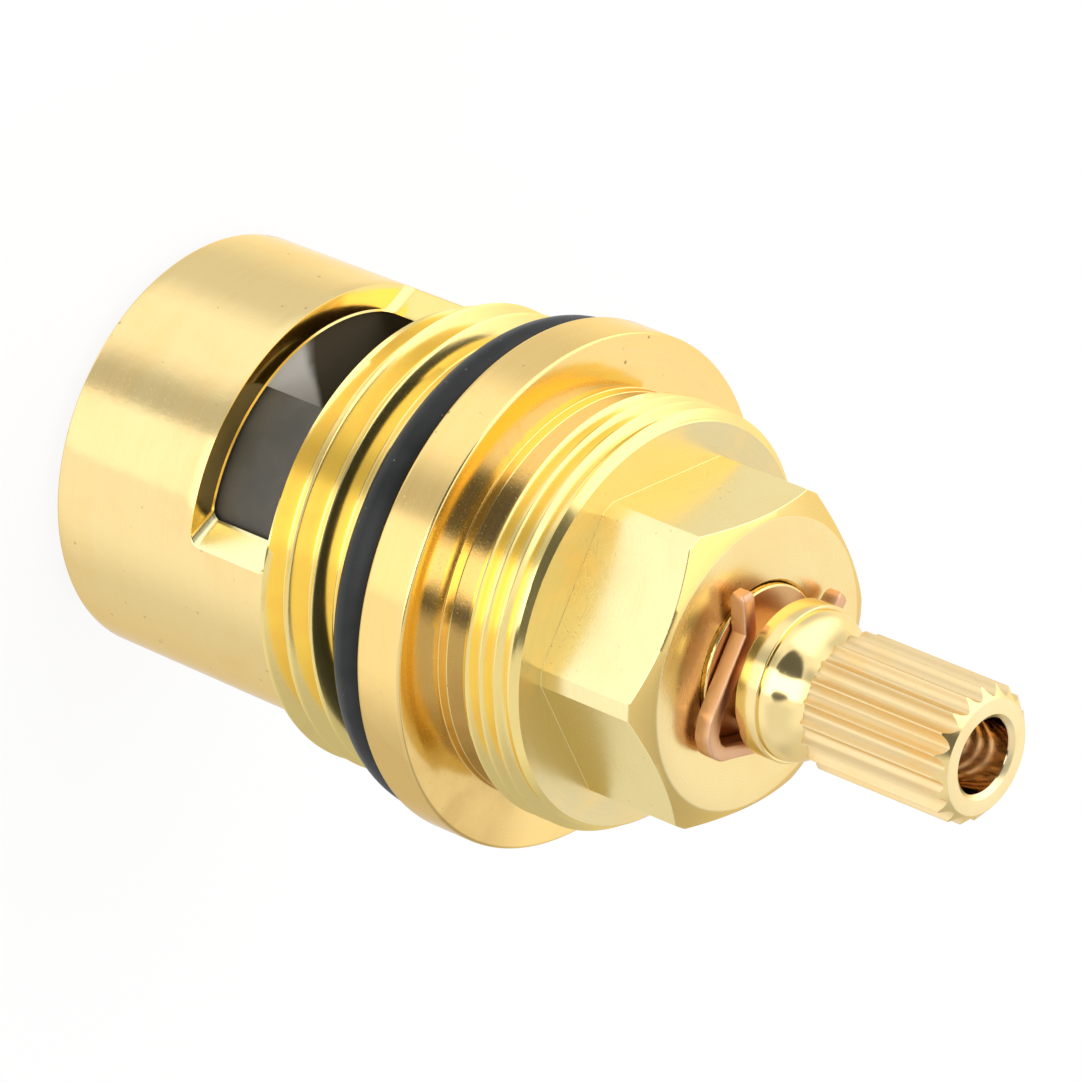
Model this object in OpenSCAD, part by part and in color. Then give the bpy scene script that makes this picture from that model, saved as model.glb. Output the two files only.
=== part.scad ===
// Quarter-turn ceramic-disc cartridge for a tap: a brass housing with a slotted cage,
// a splined stem, two ceramic discs and the seals between them.
// The axis is +Z with the stem up. Z = 0 is the lip of the base seal, and the first water
// window faces -Y. Heights below are counted from the lower edge of the brass cage.

/* [Cage] */
// How far the lip of the base seal stands below the brass
seal_lip = 0.8; // [0.3:0.1:1.2]
// Outer diameter of the cage at its lower edge
cage_low_d = 23.8; // [23.4:0.1:24.2]
// Outer diameter of the cage where the body thread starts
cage_top_d = 24.1; // [23.8:0.1:24.4]
// Height of the cage up to the body thread
cage_h = 15.7; // [15:0.1:17]
// Bore of the cage
cage_bore_d = 20.8; // [20:0.1:21.2]
// Height of the window floor
window_low = 10; // [9.5:0.1:11]
// Height of each window
window_h = 5.7; // [4.5:0.1:5.9]
// Distance from the axis to the milled sides of the windows
window_reach = 6.7; // [6:0.1:8]
// Fillet in the ends of the windows
window_fillet = 0.6; // [0.4:0.1:1.4]

/* [Threads and flange] */
// Outer diameter of the body thread
body_thread_d = 26.44; // [26.2:0.01:26.6]
// Section of the flange O-ring
flange_ring_d = 2.6; // [2.2:0.05:2.8]
// Root diameter of the flange O-ring groove
flange_groove_d = 23; // [22:0.1:23.6]
// Diameter of the flange
flange_d = 29.1; // [28.4:0.1:31]
// Height of the flange underside
flange_low = 24.4; // [24.2:0.1:25]
// Thickness of the flange
flange_h = 3.1; // [2:0.1:3.6]
// Diameter of the plain neck above the flange
neck_d = 22.8; // [22:0.1:23.2]
// Length of that neck
neck_l = 2; // [1.5:0.1:3]
// Outer diameter of the upper thread
upper_thread_d = 23.9; // [23.6:0.01:24]
// Length of the upper thread
upper_thread_l = 3.6; // [3:0.1:5]

/* [Hexagon] */
// Width across the flats
hex_af = 17; // [16:0.1:18]
// Diameter that the hexagon's corners are turned to
hex_corner_d = 19.1; // [18.8:0.1:19.6]
// Height of the housing's front face
front_h = 39.95; // [39:0.05:41]
// Diameter of the front face inside the chamfer
front_face_d = 16.3; // [15:0.1:16.8]

/* [Stem] */
// Diameter of the lower journal, which carries the O-rings
journal_d = 12; // [11.4:0.1:12.4]
// Thickness of the housing's front wall, down to the shoulder of that journal
front_wall = 4.35; // [3.5:0.05:6]
// Diameter of the upper journal, which shows at the front face
collar_d = 9.06; // [8.6:0.02:9.2]
// Radial running clearance of the stem in its bores
stem_clearance = 0.07; // [0.03:0.01:0.1]
// Radial gap of the drive plate's wings in the cage
wing_gap = 0.6; // [0.4:0.1:1]
// Thickness of the drive plate
plate_h = 2.45; // [2:0.05:2.8]
// Angle that each wing spans
wing_angle = 42; // [30:1:44]
// Width of the drive key under the plate
key_w = 5; // [4:0.1:6]
// Length of the drive key
key_l = 14; // [12:0.5:16]
// Depth of the drive key
key_h = 2.8; // [2:0.1:3.4]
// Section of the stem's O-rings
stem_ring_d = 1.5; // [1.3:0.05:1.7]
// Distance of each O-ring from the end of the bore that it sits in
ring_inset = 4.5; // [3:0.1:5]

/* [Stem head] */
// Root diameter of the clip groove
clip_groove_d = 6.2; // [5.8:0.1:6.8]
// Height of the journal's end above the front face
journal_stand = 0.25; // [0.1:0.05:0.4]
// Width of the clip groove
clip_groove_w = 1.83; // [1.5:0.01:2.2]
// Diameter of the rim above the clip
rim_d = 8.8; // [8.2:0.1:9]
// Width of that rim
rim_w = 1.43; // [1:0.01:1.8]
// Diameter of the polished bead between rim and spline
bead_d = 7.9; // [7.7:0.1:8.2]
// Height of the bead
bead_h = 2.15; // [1.8:0.05:2.6]
// Outer diameter of the spline
spline_d = 7.74; // [7.6:0.02:8]
// Root diameter of the spline
spline_root_d = 6.7; // [6.5:0.1:7]
// Number of spline teeth
spline_teeth = 20; // [16:1:24]
// Length of the spline with its chamfer
spline_l = 9.6; // [8:0.1:12]
// Diameter of the stem's end face
tip_d = 6.4; // [6:0.1:6.6]
// Hole for the M5 handle screw, at its core diameter
screw_hole_d = 4.2; // [4:0.05:4.4]
// Depth of the screw hole
screw_hole_l = 12; // [9:0.5:12.5]

/* [Clip] */
// Thickness of the retaining clip along the axis
clip_h = 1.05; // [0.8:0.05:1.2]
// Width of the clip's bar
clip_w = 0.9; // [0.7:0.05:1]
// Length of each straight leg
clip_leg = 4.8; // [4.2:0.1:5.4]
// Length of the flared ends
clip_flare = 2; // [1.2:0.1:2.4]

/* [Discs and seals] */
// Depth of the discs' lapped faces below the window floor
lap_drop = 0.3; // [0.1:0.05:0.6]
// Thickness of the fixed disc
fixed_h = 5.4; // [4.5:0.1:5.6]
// Radial gap of the moving disc in the cage
disc_gap = 0.25; // [0.15:0.05:0.5]
// Thickness of the moving disc
moving_h = 6.2; // [5.4:0.1:6.4]
// Diameter of the discs' solid middle
hub_d = 9.2; // [8.4:0.1:9.6]
// Outer diameter of the two ports in the fixed disc
port_d = 16.2; // [15:0.1:16.4]
// Angle that each port spans
port_angle = 72; // [56:1:80]
// Wall of the support ring inside the base seal
support_wall = 0.85; // [0.6:0.05:1.2]
// Thickness of the glide washer
washer_h = 1; // [0.6:0.05:1.2]
// Outer diameter of the glide washer
washer_d = 16; // [14.5:0.1:16.2]

/* [Turn] */
// Turn of the fixed disc's ports from the windows
port_turn = 51; // [0:1:60]
// Travel of the stem from closed to open
travel = 90; // [80:1:94]
// Turn of the stem from closed, as shown
shown_turn = 0; // [0:1:90]

/* [Hidden] */
$fn = 96;

// Small gaps and edge breaks that several pieces share
film = 0.02;
fit_gap = 0.1;
edge = 0.2;
eps = 0.01;

// Colours as the photograph shows them
brass = [0.86, 0.72, 0.38];
bronze = [0.78, 0.5, 0.36];
rubber = [0.07, 0.08, 0.09];
dark_ceramic = [0.3, 0.29, 0.28];
white_ceramic = [0.9, 0.9, 0.88];
white_plastic = [0.92, 0.92, 0.9];

// Heights of the housing that follow from its flange
body_thread_top = flange_low - flange_ring_d - fit_gap;
flange_top = flange_low + flange_h;
upper_thread_low = flange_top + neck_l;
shoulder_h = upper_thread_low + upper_thread_l;

cage_bore_r = cage_bore_d / 2;
window_dir = -90;
window_count = 2;
port_dir = window_dir + port_turn;

// The base seal clears the ports
seal_inner_r = port_d / 2 + fit_gap;

// Slots in the cage that hold the fixed disc, a quarter turn from the windows
lug_w = 3;
lug_reach = 0.9;
slot_r = cage_bore_r + lug_reach;

// Stack inside the housing, from the lapped faces up
lapped_h = window_low - lap_drop;
moving_r = cage_bore_r - disc_gap;
moving_low = lapped_h + film;
moving_top = moving_low + moving_h;
plate_low = moving_top + fit_gap;
plate_top = plate_low + plate_h;
ceiling_h = plate_top + washer_h + fit_gap / 2;
stem_bore_r = collar_d / 2 + stem_clearance;
journal_bore_r = journal_d / 2 + stem_clearance;
journal_top = front_h - front_wall;
bore_shoulder_h = journal_top + 0.4;

// Grooves of the stem's O-rings
groove_r = journal_bore_r - stem_ring_d - 2 * film;
groove_w = 1.4 * stem_ring_d;
lower_ring_z = ceiling_h + ring_inset;
upper_ring_z = journal_top - ring_inset;

// Stops: two lugs in the housing catch the wings of the drive plate
stop_play = 1;
stop_angle = 180 - wing_angle - travel - 2 * stop_play;
stop_inner_r = washer_d / 2 + edge;
hub_plate_r = stop_inner_r - edge - fit_gap;
wing_r = cage_bore_r - wing_gap;
// Direction of the housing's stops, so that the travel starts with the ports closed
stop_dir = port_dir + 90 + travel / 2;

// Head of the stem, from the front face up
groove_low = front_h + journal_stand;
rim_low = groove_low + clip_groove_w;
rim_top = rim_low + rim_w;
bead_sag = 0.4;
bead_top = rim_top + bead_h;
spline_low = bead_top + 0.25;
tip_h = spline_low + spline_l;
clip_low = groove_low + 0.08;
clip_inner = clip_groove_d / 2 + 0.05;

// Turn of the stem's own features from the drive key
clip_turn = -9;
spline_turn = 10;

function arc(cx, cy, r, from, to, steps) =
    [for (i = [0:steps]) let (a = from + (to - from) * i / steps)
        [cx + r * cos(a), cy + r * sin(a)]];

function polar(r, a) = [r * cos(a), r * sin(a)];

// A closed ring, as a tube with square edges
module tube(outer_r, inner_r, low, high) {
    translate([0, 0, low]) difference() {
        cylinder(h = high - low, r = outer_r);
        translate([0, 0, -1]) cylinder(h = high - low + 2, r = inner_r);
    }
}

// A flat sector of a circle, centred on the direction "turn"
module sector(r, turn, angle) {
    reach = r / cos(angle / 4);
    intersection() {
        circle(r = r);
        polygon([[0, 0], polar(reach, turn - angle / 2), polar(reach, turn),
            polar(reach, turn + angle / 2)]);
    }
}

// An O-ring lying in the plane of its own middle
module o_ring(inner_r, section, z) {
    translate([0, 0, z]) rotate_extrude()
        translate([inner_r + section / 2, 0]) circle(d = section, $fn = 32);
}

// Outside of the housing below the hexagon, as one turned profile
module housing_turned() {
    cage_r = cage_low_d / 2;
    thread_r = body_thread_d / 2;
    flange_r = flange_d / 2;
    neck_r = neck_d / 2;
    upper_r = upper_thread_d / 2;
    thread_lead = 0.7;
    neck_fillet = 0.6;
    face_rise = 0.1;
    upper_lead = 0.45;
    upper_end = 0.6;
    rotate_extrude() polygon(concat(
        [[0, 0], [cage_r - edge, 0], [cage_r, edge], [cage_top_d / 2, cage_h],
         [thread_r, cage_h + thread_lead], [thread_r, body_thread_top - edge],
         [thread_r - edge, body_thread_top], [flange_groove_d / 2, body_thread_top],
         [flange_groove_d / 2, flange_low], [flange_r - 2 * edge, flange_low]],
        arc(flange_r - 2 * edge, flange_low + 2 * edge, 2 * edge, -90, 0, 4),
        arc(flange_r - edge, flange_top - edge, edge, 0, 90, 3),
        [[neck_r + neck_fillet, flange_top + face_rise]],
        arc(neck_r + neck_fillet, flange_top + face_rise + neck_fillet, neck_fillet, 270, 180, 6),
        [[neck_r, upper_thread_low - upper_lead / 2], [upper_r, upper_thread_low + upper_lead / 2],
         [upper_r, shoulder_h - upper_end], [upper_r - upper_end, shoulder_h], [0, shoulder_h]]));
}

// Hexagon with its corners turned round and its front edge chamfered at 30 degrees
module hexagon() {
    corner_r = hex_corner_d / 2;
    face_r = front_face_d / 2;
    chamfer_h = (corner_r - face_r) * tan(30);
    ledge_h = 0.2;
    translate([0, 0, shoulder_h - eps]) cylinder(h = ledge_h + eps, r = corner_r);
    intersection() {
        rotate_extrude() polygon([[0, shoulder_h], [corner_r, shoulder_h],
            [corner_r, front_h - chamfer_h], [face_r, front_h], [0, front_h]]);
        translate([0, 0, shoulder_h]) rotate([0, 0, 30])
            cylinder(h = front_h, r = hex_af / 2 / cos(30), $fn = 6);
    }
}

// Space that is bored out of the housing from both ends
module housing_bores() {
    mouth = 0.15;
    rotate_extrude() polygon([[0, -1], [cage_bore_r + 1, -1], [cage_bore_r + 1, -eps],
        [cage_bore_r + edge, -eps], [cage_bore_r, edge], [cage_bore_r, ceiling_h],
        [journal_bore_r + edge, ceiling_h], [journal_bore_r, ceiling_h + edge],
        [journal_bore_r, bore_shoulder_h],
        [stem_bore_r, bore_shoulder_h], [stem_bore_r, front_h - mouth],
        [stem_bore_r + mouth + eps, front_h + eps], [stem_bore_r + 1, front_h + 1],
        [0, front_h + 1]]);
}

// One window: a flat-sided cut straight across the cage, with filleted ends
module window_cut() {
    depth = cage_top_d;
    across = 2 * cage_top_d;
    translate([-across / 2, -window_reach, window_low]) rotate([90, 0, 90])
        linear_extrude(across) mirror([1, 0]) {
            translate([window_fillet, 0]) square([depth, window_h]);
            translate([0, window_fillet]) square([depth, window_h - 2 * window_fillet]);
            for (y = [window_fillet, window_h - window_fillet])
                translate([window_fillet, y]) circle(r = window_fillet, $fn = 32);
        }
}

// The two lugs that stop the drive plate at closed and at open
module stop_lugs() {
    for (half = [0, 180])
        translate([0, 0, plate_low - fit_gap]) linear_extrude(ceiling_h - plate_low + fit_gap + eps)
            difference() {
                sector(cage_bore_r + eps, stop_dir + half, stop_angle);
                circle(r = stop_inner_r);
            }
}

module housing() {
    color(brass) translate([0, 0, seal_lip]) {
        difference() {
            union() {
                housing_turned();
                hexagon();
            }
            housing_bores();
            for (i = [0:window_count - 1])
                rotate([0, 0, i * 360 / window_count]) window_cut();
            for (side = [0, 180]) rotate([0, 0, side])
                translate([0, -lug_w / 2 - fit_gap, -1])
                    cube([slot_r + fit_gap, lug_w + 2 * fit_gap, lapped_h + 1]);
        }
        stop_lugs();
    }
}

module flange_o_ring() {
    color(rubber) translate([0, 0, seal_lip])
        o_ring(flange_groove_d / 2 + film, flange_ring_d, flange_low - flange_ring_d / 2 - film);
}

// Everything that turns is built with its drive key along X and then turned to its place
module turned_with_stem() {
    translate([0, 0, seal_lip]) rotate([0, 0, port_dir + shown_turn]) children();
}

// Drive plate: a round middle with two wings, and the key that enters the moving disc
module drive_plate() {
    translate([0, 0, plate_low]) linear_extrude(plate_h) {
        circle(r = hub_plate_r);
        for (half = [0, 180]) sector(wing_r, half, wing_angle);
    }
    translate([-key_l / 2, -key_w / 2, plate_low - key_h]) cube([key_l, key_w, key_h + eps]);
}

// Spline teeth: straight flanks between a narrow crest and a flat root
module spline() {
    tip_r = spline_d / 2;
    root_r = spline_root_d / 2;
    pitch = 360 / spline_teeth;
    crest = 0.05 * pitch;
    root = 0.07 * pitch;
    chamfer_h = tip_r - tip_d / 2;
    intersection() {
        translate([0, 0, spline_low]) linear_extrude(spline_l) polygon(
            [for (i = [0:spline_teeth - 1]) let (a = i * pitch) each
                [polar(tip_r, a - crest), polar(tip_r, a + crest),
                 polar(root_r, a + pitch / 2 - root), polar(root_r, a + pitch / 2 + root)]]);
        rotate_extrude() polygon([[0, spline_low - 1], [tip_r + eps, spline_low - 1],
            [tip_r + eps, tip_h - chamfer_h - eps], [tip_d / 2, tip_h], [0, tip_h]]);
    }
}

// Stem above the drive plate, as one turned profile
module stem_turned() {
    journal_r = journal_d / 2;
    neck_r = clip_groove_d / 2;
    rim_r = rim_d / 2;
    bead_r = bead_d / 2;
    bead_arc_r = (bead_h * bead_h / 4 + bead_sag * bead_sag) / (2 * bead_sag);
    bead_half = asin(bead_h / 2 / bead_arc_r);
    half_groove = groove_w / 2;
    rotate_extrude() polygon(concat(
        [[0, plate_top - eps], [journal_r, plate_top - eps],
         [journal_r, lower_ring_z - half_groove], [groove_r, lower_ring_z - half_groove],
         [groove_r, lower_ring_z + half_groove], [journal_r, lower_ring_z + half_groove],
         [journal_r, upper_ring_z - half_groove], [groove_r, upper_ring_z - half_groove],
         [groove_r, upper_ring_z + half_groove], [journal_r, upper_ring_z + half_groove],
         [journal_r, journal_top - edge], [journal_r - edge, journal_top],
         [collar_d / 2, journal_top], [collar_d / 2, groove_low - edge / 2],
         [collar_d / 2 - edge / 2, groove_low], [neck_r, groove_low],
         [neck_r, rim_low], [rim_r, rim_low]],
        arc(rim_r - edge, rim_top - edge, edge, 0, 90, 3),
        arc(bead_r - bead_arc_r, rim_top + bead_h / 2, bead_arc_r, -bead_half, bead_half, 8),
        [[spline_root_d / 2, bead_top], [spline_root_d / 2, spline_low + eps],
         [0, spline_low + eps]]));
}

module stem() {
    drill_tip = screw_hole_d / 2 * tan(31);
    color(brass) turned_with_stem() difference() {
        union() {
            drive_plate();
            stem_turned();
            rotate([0, 0, spline_turn]) spline();
        }
        rotate_extrude() polygon([[0, tip_h - screw_hole_l - drill_tip],
            [screw_hole_d / 2, tip_h - screw_hole_l], [screw_hole_d / 2, tip_h - edge / 2],
            [screw_hole_d / 2 + edge / 2 + eps, tip_h + eps], [0, tip_h + eps]]);
    }
}

// A bar of the clip from one point to the next, with round ends
module clip_bar(from, to) {
    step = to - from;
    translate(from) {
        rotate([0, 0, atan2(step[1], step[0])])
            translate([0, -clip_w / 2]) square([norm(step), clip_w]);
        circle(d = clip_w, $fn = 32);
    }
    translate(to) circle(d = clip_w, $fn = 32);
}

// Spring clip: two legs that lean towards each other at the open end, flared ends, bulged
// corners and a waisted back
module retaining_clip() {
    lean = 13;
    leg_x = clip_inner + clip_w / 2;
    leg_low = -1.3;
    leg_high = leg_low + clip_leg;
    upright = [[leg_x + clip_flare * cos(51), leg_low - clip_flare * sin(51)],
        [leg_x, leg_low], [leg_x, leg_high], [leg_x - 0.45, leg_high + 1],
        [leg_x - 1.1, leg_high + 1.5], [leg_x - 1.8, leg_high + 1.55],
        [leg_x - 2.6, leg_high + 1.2]];
    route = concat([for (p = upright) [p.x * cos(lean) + p.y * sin(lean),
        p.y * cos(lean) - p.x * sin(lean)]], [[0, clip_inner + clip_w]]);
    color(bronze) turned_with_stem() rotate([0, 0, clip_turn])
        translate([0, 0, clip_low]) linear_extrude(clip_h)
            for (side = [0, 1]) mirror([side, 0])
                for (i = [0:len(route) - 2]) clip_bar(route[i], route[i + 1]);
}

// The stem's O-rings fill their grooves and stop just short of the bore
module stem_o_ring(z) {
    color(rubber) turned_with_stem() o_ring(groove_r + film, stem_ring_d, z);
}

module stem_o_ring_lower() {
    stem_o_ring(lower_ring_z);
}

module stem_o_ring_upper() {
    stem_o_ring(upper_ring_z);
}

module glide_washer() {
    color(white_plastic) turned_with_stem()
        tube(washer_d / 2, journal_d / 2 + fit_gap, plate_top, plate_top + washer_h);
}

// Moving disc: two solid quarters joined by a hub, with a slot for the drive key
module moving_disc() {
    color(dark_ceramic) turned_with_stem() difference() {
        translate([0, 0, moving_low]) linear_extrude(moving_h) {
            for (half = [0, 180]) sector(moving_r, half, 90);
            circle(d = hub_d);
        }
        translate([-key_l / 2 - fit_gap, -key_w / 2 - fit_gap, plate_low - key_h - fit_gap])
            cube([key_l + 2 * fit_gap, key_w + 2 * fit_gap, key_h + 1]);
    }
}

// Fixed disc: two ports, and two lugs that sit in the cage's slots
module fixed_disc() {
    low = lapped_h - fixed_h;
    color(white_ceramic) translate([0, 0, seal_lip]) translate([0, 0, low])
        linear_extrude(fixed_h) difference() {
            union() {
                circle(r = cage_bore_r - fit_gap);
                translate([-slot_r, -lug_w / 2]) square([2 * slot_r, lug_w]);
            }
            for (half = [0, 180]) difference() {
                sector(port_d / 2, port_dir + half, port_angle);
                circle(d = hub_d);
            }
        }
}

// Base seal: a rubber ring that fills the cage below the fixed disc and ends in a round lip
module base_seal() {
    outer_r = cage_bore_r - fit_gap;
    low = lapped_h - fixed_h;
    wall = outer_r - seal_inner_r;
    lip_inner = seal_inner_r + wall / 4;
    lip_outer = outer_r - wall / 10;
    lip_r = 0.28 * wall;
    color(rubber) translate([0, 0, seal_lip]) rotate_extrude() polygon(concat(
        [[seal_inner_r, edge], [seal_inner_r + edge, 0], [lip_inner, 0]],
        arc(lip_inner + lip_r, lip_r - seal_lip, lip_r, 180, 270, 4),
        arc(lip_outer - lip_r, lip_r - seal_lip, lip_r, 270, 360, 4),
        [[lip_outer, 1], [outer_r, 1.4], [outer_r, low], [seal_inner_r, low]]));
}

// Support ring: a plastic sleeve that keeps the base seal round
module support_ring() {
    outer_r = seal_inner_r - film;
    color(white_plastic) translate([0, 0, seal_lip])
        tube(outer_r, outer_r - support_wall, edge, lapped_h - fixed_h - film);
}

housing();
flange_o_ring();
stem();
retaining_clip();
stem_o_ring_lower();
stem_o_ring_upper();
glide_washer();
moving_disc();
fixed_disc();
base_seal();
support_ring();
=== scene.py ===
import bmesh
import bpy
import numpy as np
from mathutils import Matrix, Vector


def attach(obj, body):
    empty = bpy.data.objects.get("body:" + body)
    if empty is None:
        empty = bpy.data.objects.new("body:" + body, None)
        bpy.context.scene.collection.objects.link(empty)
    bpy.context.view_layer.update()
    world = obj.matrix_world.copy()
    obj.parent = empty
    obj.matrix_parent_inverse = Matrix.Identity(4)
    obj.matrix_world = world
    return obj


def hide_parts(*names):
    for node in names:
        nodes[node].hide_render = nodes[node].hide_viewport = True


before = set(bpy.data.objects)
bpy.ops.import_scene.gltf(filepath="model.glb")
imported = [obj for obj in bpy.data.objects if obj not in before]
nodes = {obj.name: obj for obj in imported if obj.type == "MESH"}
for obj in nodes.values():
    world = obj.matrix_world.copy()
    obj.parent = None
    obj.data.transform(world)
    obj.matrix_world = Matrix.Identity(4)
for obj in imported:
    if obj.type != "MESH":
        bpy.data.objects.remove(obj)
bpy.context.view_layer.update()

scene = bpy.context.scene
scene.view_settings.view_transform = "Standard"
lip = 0.8  # the brass starts this far above the floor, on the lip of the base seal
mm = 0.001  # metres in a millimetre
print("frame loaded:", len(nodes), "nodes")

# Lengths below are in millimetres and heights are counted from the lower edge of the brass.
# The camera looks down on the stem's side: toCamera is the level direction towards it.
shot = {"azimuth": -61.0, "fromAxis": 53.94, "distance": 500.0, "aimHeight": 24.61,
        "aside": -1.747, "roll": 22.0, "lens": 309.4, "sensor": 36.0, "near": 0.01, "far": 20.0}


def level(degrees):
    return Vector((np.cos(np.radians(degrees)), np.sin(np.radians(degrees)), 0.0))


toCamera, across, up = level(shot["azimuth"]), level(shot["azimuth"] + 90), Vector((0, 0, 1))
lean, roll = np.radians(shot["fromAxis"]), np.radians(shot["roll"])
back = up * np.cos(lean) + toCamera * np.sin(lean)
rise = up * np.sin(lean) - toCamera * np.cos(lean)
camera = bpy.data.objects.new("camera", bpy.data.cameras.new("camera"))
scene.collection.objects.link(camera)
scene.camera = camera
camera.data.lens, camera.data.sensor_width = shot["lens"], shot["sensor"]
camera.data.clip_start, camera.data.clip_end = shot["near"], shot["far"]
right = rise * np.cos(roll) - across * np.sin(roll)
top = -(rise * np.sin(roll) + across * np.cos(roll))
stand = up * shot["aimHeight"] + back * shot["distance"] + across * shot["aside"]
camera.matrix_world = (Matrix.Translation(stand * mm)
                       @ Matrix((right, top, back)).transposed().to_4x4())
print("camera placed")


# Shader maths as plain expressions

class Wire:
    # an output socket; arithmetic on it adds Math nodes
    def __init__(self, graph, socket):
        self.graph, self.socket = graph, socket

    def __getitem__(self, name):
        return Wire(self.graph, self.socket.node.outputs[name])

    def __add__(self, other):
        return self.graph.maths("ADD", self, other)

    def __radd__(self, other):
        return self.graph.maths("ADD", other, self)

    def __sub__(self, other):
        return self.graph.maths("SUBTRACT", self, other)

    def __rsub__(self, other):
        return self.graph.maths("SUBTRACT", other, self)

    def __mul__(self, other):
        return self.graph.maths("MULTIPLY", self, other)

    def __rmul__(self, other):
        return self.graph.maths("MULTIPLY", other, self)

    def __truediv__(self, other):
        return self.graph.maths("DIVIDE", self, other)


class Graph:
    def __init__(self, owner):
        owner.use_nodes = True
        self.tree = owner.node_tree
        self.tree.nodes.clear()

    # any node: its type, its settings first, then the values or links of its sockets
    def node(self, kind, settings=None, sockets=None, out=0):
        made = self.tree.nodes.new(kind)
        for name, value in (settings or {}).items():
            setattr(made, name, value)
        for name, value in (sockets or {}).items():
            if isinstance(value, Wire):
                self.tree.links.new(value.socket, made.inputs[name])
            else:
                made.inputs[name].default_value = value
        return Wire(self, made.outputs[out]) if len(made.outputs) else made

    def maths(self, operation, *values):
        return self.node("ShaderNodeMath", {"operation": operation}, dict(enumerate(values)))

    def mix(self, share, low, high):
        low, high = ((*c, 1.0) if isinstance(c, tuple) else c for c in (low, high))
        return self.node("ShaderNodeMix", {"data_type": "RGBA"}, {0: share, 6: low, 7: high}, 2)

    # eased step from 0 at low to 1 at high
    def ease(self, value, low, high):
        return self.node("ShaderNodeMapRange", {"interpolation_type": "SMOOTHSTEP"},
                         {0: value, 1: low, 2: high, 3: 0.0, 4: 1.0})

    def vector(self, x, y, z):
        return self.node("ShaderNodeCombineXYZ", None, {0: x, 1: y, 2: z})

    def noise(self, vector, scale, detail=2.0, rough=0.5, twist=0.0):
        return self.node("ShaderNodeTexNoise", None, {
            "Vector": vector, "Scale": scale, "Detail": detail, "Roughness": rough,
            "Distortion": twist})


# Object coordinates in millimetres, with the radius and the place round the axis
def coordinates(g):
    place = g.node("ShaderNodeTexCoord")["Object"]
    split = g.node("ShaderNodeSeparateXYZ", None, {0: place})
    x, y, z = split * 1000.0, split["Y"] * 1000.0, split["Z"] * 1000.0
    radius = g.maths("SQRT", x * x + y * y + 0.01)
    return g.vector(x, y, z), x, y, z, radius


# Metal as it leaves the lathe: fine lines round the axis, scratches across them, pits and stains
def metal(name, look):
    material = bpy.data.materials.new(name)
    g = Graph(material)
    place, x, y, z, radius = coordinates(g)
    path = radius + 0.73 * z
    cx, cy = x / radius * look["turnScale"], y / radius * look["turnScale"]
    fine = g.noise(g.vector(cx, cy, path * look["lineRate"]), 1.0, 3.0, 0.65)
    broad = g.noise(g.vector(cx * 0.6, cy * 0.6, path * look["lineRate"] * 0.22 + 40.0),
                    1.0, 2.0, 0.5)
    lines = fine * 0.65 + broad * 0.35
    stain = g.noise(place, look["stainScale"], 4.0, 0.55, 0.6)
    spin = g.node("ShaderNodeVectorRotate", {"rotation_type": "AXIS_ANGLE"},
                  {"Vector": place, "Axis": (0.4, 0.7, 0.6), "Angle": 0.9})
    streak = g.noise(g.node("ShaderNodeMapping", None,
                            {"Vector": spin, "Scale": (0.5, 9.0, 9.0)}), 1.0, 2.0, 0.5)
    scratch = g.ease(streak, 0.66, 0.74)
    cell = g.node("ShaderNodeTexVoronoi", None, {"Vector": place, "Scale": look["pitScale"]})
    size = look["pitSize"]
    # pits are small round spots, and only some regions have them
    region = g.ease(g.noise(place, 0.35, 2.0), 0.5, 0.6)
    pit = (1.0 - g.ease(cell, 0.04 * size, 0.09 * size)) * region
    worn = g.ease(stain, 0.42, 0.72)
    waves = g.noise(place, look["waveScale"], 2.0, 0.5)
    tint = g.mix(worn * look["stain"], look["colour"], look["stained"])
    tint = g.mix(g.ease(lines, 0.35, 0.75) * look["lineTint"], tint, look["lineColour"])
    if "tarnish" in look:
        # the side of the part facing a bearing round the axis turns duller and browner: the
        # bearing, and how strong the brown is there
        facing, amount = np.radians(look["tarnish"][0]), look["tarnish"][1]
        dull = g.ease((x * np.cos(facing) + y * np.sin(facing)) / radius, 0.78, 0.985)
        tint = g.mix(dull * (0.6 + 0.4 * worn) * amount, tint, (0.52, 0.34, 0.12))
    tint = g.mix(pit * look["pit"] * 0.7, tint, (0.25, 0.15, 0.06))
    rough = (look["roughness"] + (lines - 0.5) * look["lineRough"] + worn * look["stainRough"]
             + scratch * look["scratch"] * 0.2 + pit * look["pit"] * 0.2)
    # heights in millimetres
    height = (lines * look["depth"] + waves * look["waveDepth"]
              + scratch * look["scratch"] * 0.0012 - pit * look["pit"] * 0.003)
    bump = g.node("ShaderNodeBump", None, {"Strength": 1.0, "Distance": mm, "Height": height})
    shader = g.node("ShaderNodeBsdfPrincipled", None, {
        "Base Color": tint, "Roughness": rough, "Metallic": 1.0, "Normal": bump,
        "Specular Tint": (0.92, 0.8, 0.58, 1.0)})
    g.node("ShaderNodeOutputMaterial", None, {0: shader})
    return material


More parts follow.
